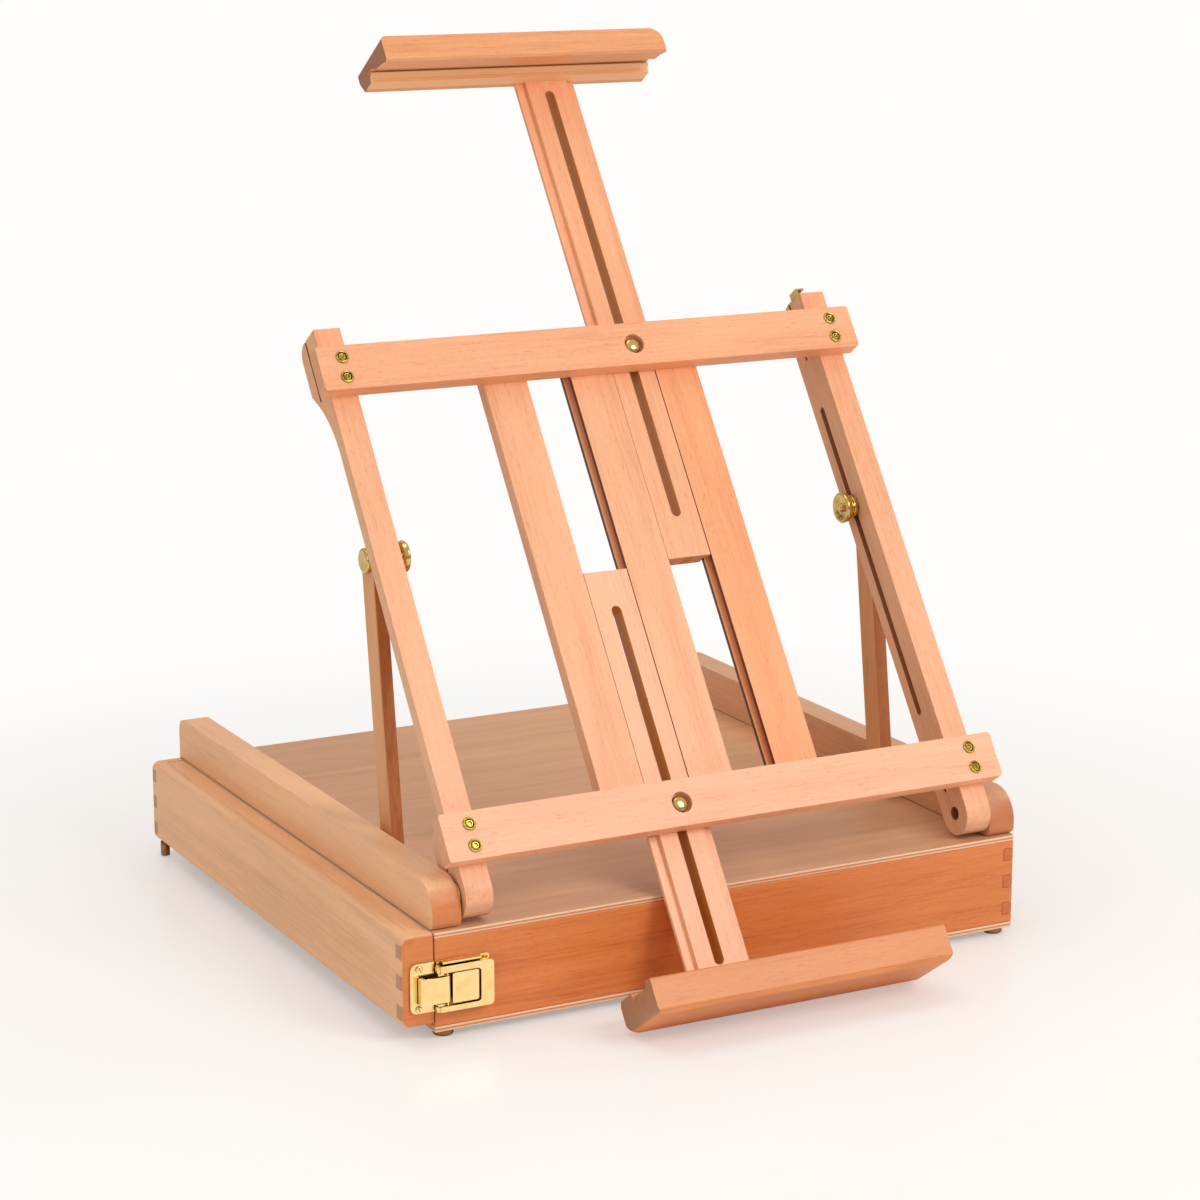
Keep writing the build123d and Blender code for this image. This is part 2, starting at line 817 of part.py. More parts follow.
def side_knob():
    axis_plane = Plane(origin=(0, bolt_y, bolt_z), x_dir=(0, 0, 1), z_dir=(0, 1, 0))
    bore = (stud_d + running) / 2
    face = stile_inner - 1.5
    rim = side_knob_d / 2
    profile = [(bore, face), (7.6, face), (7.6, face - 1.6), (6.6, face - 2.2), (6.6, face - 3.2),
               (rim - 1.3, face - 3.8), (rim - 0.6, face - 4.6), (rim, face - 7), (rim - 0.4, face - 7.8),
               (rim - 1.1, face - 8), (4.6, face - 6.9), (2.7, face - 6.7), (2.5, face - 8.2),
               (1.5, face - 8.7), (0, face - 8.8),
               (0, stud_end - 0.3), (bore, stud_end - 0.3)]
    return turned(axis_plane, [(r, x) for r, x in profile])


right_stud = side_stud()
right_knob = side_knob()
save(right_stud, "right_stud")
save(mirrored(right_stud), "left_stud")
save(right_knob, "right_knob")
save(mirrored(right_knob), "left_knob")


# Catch keeper on the right stile's top end

def keeper_plate():
    x0 = stile_inner
    with BuildPart() as plate:
        with BuildSketch(section_plane.offset(stile_top)):
            with Locations((x0 + 8, -1)):
                RectangleRounded(14, 17, 2)
        extrude(amount=1.2)
        with BuildSketch(section_plane.offset(stile_top + 1.2)):
            with Locations((x0 + 2.5, -3)):
                Rectangle(1.4, 9)
        extrude(amount=5)
        with BuildSketch(section_plane.offset(stile_top + 5)):
            with Locations((x0 + 4.8, -3)):
                Rectangle(6, 9)
        extrude(amount=1.2)
    return plate.part


def keeper_screw():
    with BuildPart() as screw:
        with BuildSketch(section_plane.offset(stile_top + 1.2)):
            with Locations((stile_half - 5, 3)):
                Circle(2.6)
        extrude(amount=1.4)
        fillet(screw.faces().sort_by(Axis.Z)[-1].edges(), 0.9)
    return screw.part


save(keeper_plate(), "frame_keeper")
save(keeper_screw(), "frame_keeper_screw")


# Draw catch on the front: base plate on the box, keeper on the cap, lever and claw

face_y = -half_d
plate_t = 1.2
catch_low = 18.0
catch_high = 47.5
lever_low = 18.4
lever_high = 45.4
window_low = 21.6
window_high = 41.4
claw_low = 23.8
claw_high = 39.2
lever_proud = 6.4
tongue_proud = 5.5
lever_x = -half_w + 1.0
lever_y = face_y - 3.6
claw_x = -half_w + 6.0
claw_y = face_y - 4.2


def upright_rod(x, y, z0, z1, diameter):
    with BuildPart() as body:
        with BuildSketch(Plane.XY.offset(z0)):
            with Locations((x, y)):
                Circle(diameter / 2)
        extrude(amount=z1 - z0)
    return body.part


def face_screw(x, z, y, diameter):
    # Slotted, domed screw head on the front
    with BuildPart() as head:
        with BuildSketch(Plane.XZ.offset(-y)):
            with Locations((x, z)):
                Circle(diameter / 2)
        extrude(amount=1.1)
        fillet(head.faces().sort_by(Axis.Y)[0].edges(), 0.6)
        with BuildSketch(Plane.XZ.offset(-y + 0.5)):
            with Locations((x, z)):
                Rectangle(0.7, diameter, rotation=25)
        extrude(amount=1, mode=Mode.SUBTRACT)
    return head.part


catch_pin = upright_rod(lever_x, lever_y, lever_low + 0.4, lever_high - 0.4, catch_pin_d)
claw_pin = upright_rod(claw_x, claw_y, lever_low + 0.4, lever_high - 0.4, catch_pin_d)


def catch_base():
    x0 = -half_w + 0.4
    x1 = -half_w + 33.5
    with BuildPart() as base:
        with BuildSketch(Plane.XZ.offset(-face_y)):
            with Locations(((x0 + x1) / 2, (catch_low + catch_high) / 2)):
                RectangleRounded(x1 - x0, catch_high - catch_low, 2)
        extrude(amount=plate_t)
        with BuildSketch(Plane.XZ.offset(-face_y + plate_t)):
            with Locations((-half_w + 16.8, (window_low + window_high) / 2)):
                RectangleRounded(16.2, window_high - window_low - 2, 1.2)
        extrude(amount=tongue_proud - plate_t)
        with BuildSketch(Plane.XZ.offset(-face_y + plate_t)):
            with Locations((-half_w + 15, catch_high - 0.7)):
                Rectangle(24, 1.2)
        extrude(amount=3.6)
        for low in (window_low + 0.3, window_high - 1.5):
            with BuildSketch(Plane.XY.offset(low)):
                with Locations((-half_w + 1.6, face_y - plate_t - 2.1)):
                    Rectangle(3.8, 4.2)
            extrude(amount=1.2)
    return base.part - catch_pin


def catch_keeper():
    x0 = -half_w - 15.5
    x1 = -half_w - 0.7
    with BuildPart() as keeper:
        with BuildSketch(Plane.XZ.offset(-face_y)):
            with Locations(((x0 + x1) / 2, (catch_low + catch_high) / 2)):
                Rectangle(x1 - x0, catch_high - catch_low)
        extrude(amount=plate_t)
        fillet(keeper.edges().filter_by(Axis.Y).group_by(Axis.X)[0], 4)
        with BuildSketch(Plane.XZ.offset(-face_y + plate_t)):
            with Locations((-half_w - 7.6, (claw_low + claw_high) / 2)):
                Rectangle(1.2, claw_high - claw_low - 2)
        extrude(amount=2)
    return keeper.part


def catch_claw():
    with BuildPart() as claw:
        with BuildSketch(Plane.XY.offset(claw_low)):
            with Locations(((claw_x - half_w - 11) / 2, face_y - 5.4)):
                Rectangle(claw_x + half_w + 11, 1.2)
            with Locations((-half_w - 10.4, face_y - 3.9)):
                Rectangle(1.2, 4.2)
            with Locations((claw_x, claw_y)):
                Circle(1.7)
        extrude(amount=claw_high - claw_low)
        with BuildSketch(Plane.XY.offset(claw_low)):
            with Locations((claw_x, claw_y)):
                Circle((catch_pin_d + running) / 2)
        extrude(amount=claw_high - claw_low, mode=Mode.SUBTRACT)
    return claw.part


def catch_lever():
    front = face_y - lever_proud
    rear = face_y - 3.4
    right = -half_w + 34
    bar_left = -half_w + 26
    with BuildPart() as lever:
        with BuildSketch(Plane.XY.offset(lever_low)):
            with Locations(((lever_x + right) / 2, (front + rear) / 2)):
                Rectangle(right - lever_x, rear - front)
            with Locations((lever_x, lever_y)):
                Circle(2)
        extrude(amount=lever_high - lever_low)
        fillet(lever.edges().filter_by(Axis.Y).group_by(Axis.X)[-1], 2.5)
        with BuildSketch(Plane.XZ.offset(-face_y)):
            with Locations(((bar_left - half_w - 10) / 2, (window_low + window_high) / 2)):
                RectangleRounded(bar_left + half_w + 10, window_high - window_low, 2)
        extrude(amount=10, mode=Mode.SUBTRACT)
        with BuildSketch(Plane.XZ.offset(-face_y + 3)):
            with Locations(((bar_left + right) / 2 + 1.5, (lever_low + lever_high) / 2)):
                Rectangle(right - bar_left - 1, lever_high - lever_low - 4)
        extrude(amount=lever_proud - 1 - 3, mode=Mode.SUBTRACT)
    bores = [upright_rod(lever_x, lever_y, lever_low - 1, lever_high + 1, catch_pin_d + running), claw_pin]
    return less(lever.part, bores)


save(catch_base(), "catch_base")
save(catch_keeper(), "catch_keeper")
save(catch_claw(), "catch_claw")
save(catch_lever(), "catch_lever")
save(catch_pin, "catch_pin")
save(claw_pin, "claw_pin")
screw_in = 3.2
save(group(face_screw(-half_w - 10, catch_high - screw_in, face_y - plate_t, 4.2),
           face_screw(-half_w - 10.6, catch_low + screw_in - 0.4, face_y - plate_t, 3.6)), "keeper_screws")
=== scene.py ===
import math

import bpy
from mathutils import Matrix, Vector

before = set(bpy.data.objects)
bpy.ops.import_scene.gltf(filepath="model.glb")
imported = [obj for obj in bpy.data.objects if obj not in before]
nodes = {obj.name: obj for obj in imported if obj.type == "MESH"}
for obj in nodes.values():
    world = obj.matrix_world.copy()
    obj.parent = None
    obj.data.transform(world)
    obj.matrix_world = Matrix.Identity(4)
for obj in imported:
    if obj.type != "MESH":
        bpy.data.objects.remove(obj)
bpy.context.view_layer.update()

# Directions. The frame leans back, so its pieces run along UP_FRAME and face OUT_FRAME. The props'
# grain runs along PROP_DIR.
X = Vector((1, 0, 0))
Y = Vector((0, 1, 0))
Z = Vector((0, 0, 1))
LEAN = math.radians(35)
UP_FRAME = Vector((0, math.sin(LEAN), math.cos(LEAN)))
OUT_FRAME = Vector((0, -math.cos(LEAN), math.sin(LEAN)))
PROP_DIR = Vector((0, 0.1245, 0.9922))
LEFT = -X
FACE = -Y


def span(name, direction):
    """Lowest and highest place of a CAD piece along a direction, in metres."""
    places = [v.co.dot(direction) for v in nodes[name].data.vertices]
    return min(places), max(places)


def middle(name, direction):
    return sum(span(name, direction)) / 2


# Places read from the CAD pieces
BOX_MIDDLE = Vector((middle("top_panel", X), middle("top_panel", Y), 0))
DECK_TOP = span("top_panel", Z)[1]
DRAWER_SEAM = span("drawer_returns", X)[1]
HOLDER_LOW = span("top_holder", UP_FRAME)[0]
HOLDER_REAR = span("top_holder", OUT_FRAME)[0]


# Colours
def linear(r, g, b):
    """sRGB 0-255 to linear colour."""
    out = []
    for v in (r, g, b):
        v = v / 255
        out.append(v / 12.92 if v <= 0.04045 else ((v + 0.055) / 1.055) ** 2.4)
    return (*out, 1)


def grey(v):
    return (v, v, v, 1)


def darker(colour, share):
    return tuple(c * share for c in colour[:3]) + (1,)


def tones(light, mid, dark):
    return linear(*light), linear(*mid), linear(*dark)


# Wood: light, middle and dark tone of each
PEACH = tones((248, 182, 136), (244, 171, 125), (232, 153, 107))
# Painted light: a paler copy of the peach tones for the lower pieces
PEACH_LOW_LIT = tones((251, 193, 152), (248, 184, 144), (236, 166, 126))
# Painted shading: the _SIDE tones are those of faces turned to the left, lighter or darker as light
# falls on them
PEACH_SIDE_SHADE = tones((236, 178, 134), (226, 166, 122), (208, 146, 104))
MAST_SIDE_SHADING = tones((244, 190, 146), (236, 180, 136), (214, 156, 114))
ORANGE = tones((250, 174, 120), (244, 162, 108), (232, 144, 92))
SLAT_SIDE_SHADE = tones((112, 62, 32), (98, 52, 26), (82, 42, 20))
FRONT = tones((232, 142, 80), (224, 130, 68), (206, 110, 54))
TAN = tones((250, 196, 148), (240, 184, 136), (220, 162, 116))
CAP = tones((246, 192, 144), (236, 180, 132), (218, 160, 114))
DECK = tones((226, 174, 132), (214, 160, 118), (198, 144, 102))
HOLD = tones((240, 172, 120), (232, 158, 106), (214, 138, 88))
TRAY = tones((232, 154, 98), (224, 142, 86), (204, 122, 68))
# Painted shade: the darker tones of the holder's and tray's faces turned to the left
HOLD_SIDE_SHADE = tones((206, 150, 112), (194, 138, 100), (176, 120, 84))
PROP = tones((228, 166, 110), (219, 156, 100), (196, 134, 80))
# Painted shade: darker tones on the props' front faces, which face down in the stiles' shadow
LEFT_PROP_FRONT_SHADE = tones((196, 126, 72), (180, 108, 58), (154, 86, 44))
RIGHT_PROP_FRONT_SHADE = tones((180, 110, 58), (168, 98, 50), (150, 82, 40))

# Wood: single tones of painted shade for seams and hollows, of painted light for the holder's strip, and
# of the plies; and tints that multiply, for the flecks and for painted light on the lower ends
INSIDE_SHADE = linear(150, 88, 48)
SLOT_WALL_SHADE = linear(206, 138, 62)
GROOVE_SHADE = linear(190, 114, 56)
SEAM_SHADE = linear(84, 50, 26)
HOLD_STRIP_LIGHT = linear(255, 206, 152)
PLY_LIGHT = linear(246, 204, 170)
PLY_DARK = linear(206, 140, 98)
FLECK_TINT = (0.74, 0.60, 0.50, 1)
# Painted light: the tint that pales the peach pieces' lower ends
LOW_LIGHT_TINT = (1.02, 1.11, 1.22, 1)

# Painted light: the peach pieces grow paler towards their lower ends, between these heights in metres
PALE_BELOW = 0.09
PLAIN_ABOVE = 0.34

# How strong the flecks are on each kind of wood, and the share of it that each size of fleck takes
STRONG_FLECKS = 0.9
SOFT_FLECKS = 0.5
PLY_FLECKS = 0.35
SMALL_FLECK_SHARE = 0.42
LARGE_FLECK_SHARE = 0.50

# What is left of the wood's tone on its ends, and of the ends' tone in their pores
END_SHARE = 0.86
PORE_SHARE = 0.84

# Repeats per metre of the patterns that follow the grain: along it, across the face, into the piece
BANDS = (4, 60, 26)
STREAKS = (26, 620, 520)
CLOUD = (9, 16, 16)
SMALL_FLECKS = (300, 1900, 1900)
LARGE_FLECKS = (110, 1100, 1100)
RINGS = (30, 240, 90)

# Repeats per metre of the other patterns, along X, Y and Z
PORES = (1500, 1500, 1500)
PLY_FUZZ = (320, 320, 900)
SCRATCHES = (420, 420, 1050)
TARNISH = (150, 150, 150)
FLOOR_CLOUD = (3, 3, 3)

# From one dark layer of the plywood to the next, in metres
PLY_PERIOD = 0.0026

# How far each further seed shifts the patterns that follow the grain, in metres
SEED_SHIFT = (1.37, 0.71, 0.43)

# Roughness of the wood, and how far roughness falls and rises with the pattern
WOOD_ROUGH = 0.42
WOOD_GLOSS = (0.05, 0.08)
METAL_GLOSS = (0.04, 0.08)

# Strength of each relief, and its depth in metres
WOOD_RELIEF = (0.25, 0.0002)
METAL_RELIEF = (0.05, 0.0001)


# Node helpers
def tree(name):
    mat = bpy.data.materials.new(name)
    mat.use_nodes = True
    nt = mat.node_tree
    nt.nodes.clear()
    out = nt.nodes.new("ShaderNodeOutputMaterial")
    bsdf = nt.nodes.new("ShaderNodeBsdfPrincipled")
    nt.links.new(bsdf.outputs["BSDF"], out.inputs["Surface"])
    return mat, nt, bsdf


def stretched(nt, source, repeats):
    m = nt.nodes.new("ShaderNodeMapping")
    m.inputs["Scale"].default_value = repeats
    nt.links.new(source, m.inputs["Vector"])
    return m.outputs["Vector"]


def noise(nt, source, repeats, detail=3.0, rough=0.55, distort=0.0):
    """Noise with so many repeats per metre along each axis of the source."""
    n = nt.nodes.new("ShaderNodeTexNoise")
    n.inputs["Scale"].default_value = 1.0
    n.inputs["Detail"].default_value = detail
    n.inputs["Roughness"].default_value = rough
    n.inputs["Distortion"].default_value = distort
    nt.links.new(stretched(nt, source, repeats), n.inputs["Vector"])
    return n.outputs["Fac"]


def ramp(nt, fac, stops):
    r = nt.nodes.new("ShaderNodeValToRGB")
    els = r.color_ramp.elements
    els[0].position, els[0].color = stops[0]
    els[1].position, els[1].color = stops[-1]
    for pos, col in stops[1:-1]:
        els.new(pos).color = col
    nt.links.new(fac, r.inputs["Fac"])
    return r.outputs["Color"]


def mix(nt, fac, a, b, blend="MIX"):
    m = nt.nodes.new("ShaderNodeMix")
    m.data_type = "RGBA"
    m.blend_type = blend
    for socket, value in ((m.inputs[0], fac), (m.inputs[6], a), (m.inputs[7], b)):
        if isinstance(value, (float, int, tuple)):
            socket.default_value = value
        else:
            nt.links.new(value, socket)
    return m.outputs[2]


def multiply(nt, a, b):
    return mix(nt, 1.0, a, b, "MULTIPLY")


def maths(nt, op, a, b=0.0):
    m = nt.nodes.new("ShaderNodeMath")
    m.operation = op
    for i, value in enumerate((a, b)):
        if isinstance(value, (float, int)):
            m.inputs[i].default_value = value
        else:
            nt.links.new(value, m.inputs[i])
    return m.outputs[0]


def half_and_half(nt, a, b):
    return maths(nt, "ADD", maths(nt, "MULTIPLY", a, 0.5), maths(nt, "MULTIPLY", b, 0.5))


def along_axis(nt, source, direction):
    """How far a place lies, or how much a normal points, along a direction."""
    v = nt.nodes.new("ShaderNodeVectorMath")
    v.operation = "DOT_PRODUCT"
    nt.links.new(source, v.inputs[0])
    v.inputs[1].default_value = direction
    return v.outputs["Value"]


def facing(nt, normal, direction):
    """1 where the surface faces the direction, in the piece's own axes."""
    return ramp(nt, along_axis(nt, normal, direction), [(0.6, grey(0)), (0.8, grey(1))])


def relief(nt, bsdf, height, strength, distance):
    bump = nt.nodes.new("ShaderNodeBump")
    bump.inputs["Strength"].default_value = strength
    bump.inputs["Distance"].default_value = distance
    nt.links.new(height, bump.inputs["Height"])
    nt.links.new(bump.outputs["Normal"], bsdf.inputs["Normal"])


def gloss(nt, bsdf, pattern, rough, smoother, rougher):
    """Roughness that varies with a pattern around its middle value."""
    spread = ramp(nt, pattern, [(0.3, grey(rough - smoother)), (0.7, grey(rough + rougher))])
    nt.links.new(spread, bsdf.inputs["Roughness"])


def crease_shade(nt, reach):
    """0 in tight corners and seams, 1 in the open: a mask for painted shade."""
    ao = nt.nodes.new("ShaderNodeAmbientOcclusion")
    ao.samples = 8
    ao.inputs["Distance"].default_value = reach
    return ao.outputs["AO"]


# Masks: each gives a function that says where on a piece a mark lies
def between(nt, value, centre, half):
    """1 where the value lies within half of the centre."""
    off = maths(nt, "ABSOLUTE", maths(nt, "SUBTRACT", value, centre))
    return maths(nt, "LESS_THAN", off, half)


def slot_inside(across, centre, half, face, strength=1.0):
    """Walls of a long slot or groove: near its middle line and not part of the face."""
    def mask(nt, obj, normal):
        near = between(nt, along_axis(nt, obj, across), centre, half)
        turned = maths(nt, "ABSOLUTE", along_axis(nt, normal, face))
        walls = maths(nt, "MULTIPLY", near, maths(nt, "LESS_THAN", turned, 0.5))
        return maths(nt, "MULTIPLY", walls, strength)
    return mask


def stripe(axis, centre, half, strength=0.9):
    """A stripe across a piece, such as a line of painted shade along a joint."""
    def mask(nt, obj, normal):
        return maths(nt, "MULTIPLY", between(nt, along_axis(nt, obj, axis), centre, half), strength)
    return mask


def both(first, second):
    def mask(nt, obj, normal):
        return maths(nt, "MULTIPLY", first(nt, obj, normal), second(nt, obj, normal))
    return mask


def bore_inside(y, z, radius):
    """Inside of a hole along X."""
    def mask(nt, obj, normal):
        flat = nt.nodes.new("ShaderNodeVectorMath")
        flat.operation = "MULTIPLY"
        flat.inputs[1].default_value = (0, 1, 1)
        nt.links.new(obj, flat.inputs[0])
        away = nt.nodes.new("ShaderNodeVectorMath")
        away.operation = "DISTANCE"
        nt.links.new(flat.outputs[0], away.inputs[0])
        away.inputs[1].default_value = (0, y, z)
        return maths(nt, "LESS_THAN", away.outputs["Value"], radius)
    return mask


# Wood
def grain_space(nt, along, across, seed):
    """Coordinates with X along the grain and Y across the face, shifted by the seed.

    The piece's own coordinates and its normal are given too.
    """
    x = along.normalized()
    y = across.normalized()
    tc = nt.nodes.new("ShaderNodeTexCoord")
    rot = nt.nodes.new("ShaderNodeMapping")
    rot.inputs["Rotation"].default_value = Matrix((x, y, x.cross(y))).to_euler("XYZ")
    rot.inputs["Location"].default_value = [seed * shift for shift in SEED_SHIFT]
    nt.links.new(tc.outputs["Object"], rot.inputs["Vector"])
    return rot.outputs["Vector"], tc.outputs["Object"], tc.outputs["Normal"]


def tinted(nt, tone, colours):
    """The wood's three tones spread over its pattern."""
    light, mid, dark = colours
    return ramp(nt, tone, [(0.30, dark), (0.48, mid), (0.70, light)])


def with_flecks(nt, vec, col, amount):
    """Short darker dashes of two sizes. The mask of the larger ones is given too, for the relief."""
    small = ramp(nt, noise(nt, vec, SMALL_FLECKS, 2, 0.5, 0.2), [(0.60, grey(0)), (0.66, grey(1))])
    large = ramp(nt, noise(nt, vec, LARGE_FLECKS, 2, 0.5, 0.2), [(0.63, grey(0)), (0.70, grey(1))])
    brown = multiply(nt, col, FLECK_TINT)
    col = mix(nt, maths(nt, "MULTIPLY", small, amount * SMALL_FLECK_SHARE), col, brown)
    col = mix(nt, maths(nt, "MULTIPLY", large, amount * LARGE_FLECK_SHARE), col, brown)
    return col, large


def with_end_grain(nt, vec, obj, normal, col, along, end):
    """Darker ends with fine pores."""
    pores = noise(nt, obj, PORES, 3, 0.6)
    rings = noise(nt, vec, RINGS, 2, 0.5, 0.6)
    end_col = ramp(nt, half_and_half(nt, pores, rings), [(0.35, darker(end, PORE_SHARE)), (0.6, end)])
    turned = maths(nt, "ABSOLUTE", along_axis(nt, normal, along.normalized()))
    return mix(nt, ramp(nt, turned, [(0.62, grey(0)), (0.84, grey(1))]), col, end_col)


def with_plies(nt, obj, normal, col, through, centre):
    """Layers on a panel's edges.

    through is the direction across its thickness, and centre the middle of a dark layer.
    """
    turned = maths(nt, "ABSOLUTE", along_axis(nt, normal, through))
    edge = ramp(nt, turned, [(0.55, grey(1)), (0.8, grey(0))])
    away = maths(nt, "SUBTRACT", along_axis(nt, obj, through), centre)
    layer = maths(nt, "COSINE", maths(nt, "MULTIPLY", away, 2 * math.pi / PLY_PERIOD))
    fuzz = noise(nt, obj, PLY_FUZZ, 3, 0.6)
    layer = maths(nt, "ADD", layer, maths(nt, "MULTIPLY", fuzz, 0.8))
    return mix(nt, edge, col, ramp(nt, layer, [(0.35, PLY_LIGHT), (1.0, PLY_DARK)]))


def wood(name, seed, along, across, colours, fleck, sides=(), end=None, plies=None, marks=(), low=None):
    """Beech: faint bands, fine streaks and short darker flecks, all running along the grain.

    sides: other colours, by the direction a face looks in, painted as light and shade. end: colour of
    the end grain.
    plies: for plywood, the direction through it and the middle of a dark layer.
    marks: pairs of a mask and its colour, painted as shade and light. low: tint of painted light on the
    piece's lower end.
    """
    mat, nt, bsdf = tree(name)
    vec, obj, normal = grain_space(nt, along, across, seed)
    bands = noise(nt, vec, BANDS, 3, 0.5, 0.8)
    streaks = noise(nt, vec, STREAKS, 4, 0.6, 0.3)
    cloud = noise(nt, vec, CLOUD, 2, 0.5)
    tone = half_and_half(nt, bands, streaks)
    col = tinted(nt, tone, colours)
    # Painted shading: faces turned one way take other tones, in place of light and shade
    for direction, side_shading in sides:
        col = mix(nt, facing(nt, normal, direction), col, tinted(nt, tone, side_shading))
    col = multiply(nt, col, ramp(nt, cloud, [(0.3, grey(0.95)), (0.7, grey(1.03))]))
    col, large = with_flecks(nt, vec, col, fleck)
    if plies is None:
        end = end or darker(colours[1], END_SHARE)
        col = with_end_grain(nt, vec, obj, normal, col, along, end)
    for mask, mark in marks:
        col = mix(nt, mask(nt, obj, normal), col, mark)
    # Painted light: paler towards the lower end
    if low is not None:
        paler = ramp(nt, along_axis(nt, obj, Z), [(PALE_BELOW, low), (PLAIN_ABOVE, grey(1))])
        col = multiply(nt, col, paler)
    if plies is not None:
        col = with_plies(nt, obj, normal, col, *plies)
    nt.links.new(col, bsdf.inputs["Base Color"])
    gloss(nt, bsdf, streaks, WOOD_ROUGH, *WOOD_GLOSS)
    pitted = maths(nt, "SUBTRACT", streaks, maths(nt, "MULTIPLY", large, 0.5))
    relief(nt, bsdf, pitted, *WOOD_RELIEF)
    return mat


# Metal. Painted shade darkens its creases within this reach, in metres.
CREASE_SHADE_REACH = 0.0022
CREASE_SHADE_TINT = linear(96, 62, 20)


def metal(name, base, dark, rough):
    """Polished or plain metal: broad tarnish, painted shade in creases, fine scratches in gloss and
    relief.
    """
    mat, nt, bsdf = tree(name)
    obj = nt.nodes.new("ShaderNodeTexCoord").outputs["Object"]
    scratches = noise(nt, obj, SCRATCHES, 4, 0.6)
    tarnish = noise(nt, obj, TARNISH, 3, 0.5)
    col = ramp(nt, tarnish, [(0.35, dark), (0.58, base)])
    # Painted shade: creases darkened by the ambient occlusion
    col = multiply(nt, col, ramp(nt, crease_shade(nt, CREASE_SHADE_REACH), [(0.25, CREASE_SHADE_TINT), (0.8, grey(1))]))
    nt.links.new(col, bsdf.inputs["Base Color"])
    bsdf.inputs["Metallic"].default_value = 1.0
    gloss(nt, bsdf, scratches, rough, *METAL_GLOSS)
    relief(nt, bsdf, scratches, *METAL_RELIEF)
    return mat


# Edges, rounded by modifiers: widths in metres
BOARD_ROUND = 0.0009
THIN_BOARD_ROUND = 0.0005
PLY_ROUND = 0.0006
METAL_ROUND = 0.0002

# A plane wider than this, in metres, is shaded flat. Two faces that turn less than these angles share a
# plane or a curve.
PLANE_WIDTH = 0.004
SAME_PLANE = math.cos(math.radians(0.6))
SAME_CURVE = math.cos(math.radians(36))

# Limits of the modifiers: the weld's distance, the turn below which faces join, and the turn above which
# an edge is rounded
MERGE_WITHIN = 1e-6
DISSOLVE_BELOW = math.radians(0.3)
BEVEL_ABOVE = math.radians(40)


def faces_beside(mesh):
    """Faces on each edge. Vertices in one place count as one, because the CAD mesh isn't joined."""
    spots = {}
    ids = [spots.setdefault(tuple(round(c * 1e6) for c in v.co), v.index) for v in mesh.vertices]
    beside = {}
    for face in mesh.polygons:
        ring = [ids[v] for v in face.vertices]
        for pair in zip(ring, ring[1:] + ring[:1]):
            beside.setdefault(tuple(sorted(pair)), []).append(face.index)
    return beside.values()


def planes_and_curves(mesh):
    """For each face, the number that stands for its whole plane, and the faces beside a gentle turn."""
    plane = list(range(len(mesh.polygons)))

    def root(i):
        while plane[i] != i:
            i = plane[i]
        return i

    curved = set()
    for faces in faces_beside(mesh):
        if len(faces) == 2:
            turn = mesh.polygons[faces[0]].normal.dot(mesh.polygons[faces[1]].normal)
            if turn >= SAME_PLANE:
                plane[root(faces[0])] = root(faces[1])
            elif turn > SAME_CURVE:
                curved.update(faces)
    return [root(i) for i in plane], curved


def shade_by_form(mesh):
    """Flat shading on plane faces, smooth shading on the narrow strips that make up curved ones."""
    custom = mesh.attributes.get("custom_normal")
    if custom is not None:
        mesh.attributes.remove(custom)
    whole, curved = planes_and_curves(mesh)
    spread, length = {}, {}
    for face in mesh.polygons:
        face.use_smooth = False
        ring = [mesh.vertices[v].co for v in face.vertices]
        longest = max((a - b).length for a, b in zip(ring, ring[1:] + ring[:1]))
        own = whole[face.index]
        spread[own] = spread.get(own, 0) + face.area
        length[own] = max(length.get(own, 0), longest)
    for i in curved:
        mesh.polygons[i].use_smooth = spread[whole[i]] < PLANE_WIDTH * length[whole[i]]


def smooth_edges(obj, width, segments=3):
    shade_by_form(obj.data)
    weld = obj.modifiers.new("weld", "WELD")
    weld.merge_threshold = MERGE_WITHIN
    # Plane faces become whole, because in the bevel long thin triangles would fold over each other
    planes = obj.modifiers.new("planes", "DECIMATE")
    planes.decimate_type = "DISSOLVE"
    planes.angle_limit = DISSOLVE_BELOW
    bev = obj.modifiers.new("bevel", "BEVEL")
    bev.width = width
    bev.segments = segments
    bev.limit_method = "ANGLE"
    bev.angle_limit = BEVEL_ABOVE
    bev.use_clamp_overlap = True


def give(obj, mat):
    obj.data.materials.clear()
    obj.data.materials.append(mat)


# Looks of the wooden pieces
# Painted shading: faces turned to the left, and the drawer returns' front faces, take these tones in
# place of light and shade
lean_side_shade = [(LEFT, PEACH_SIDE_SHADE)]
mast_side_shading = [(LEFT, MAST_SIDE_SHADING)]
slat_side_shade = [(LEFT, SLAT_SIDE_SHADE)]
hold_side_shade = [(LEFT, HOLD_SIDE_SHADE)]
front_shade = [(FACE, FRONT)]

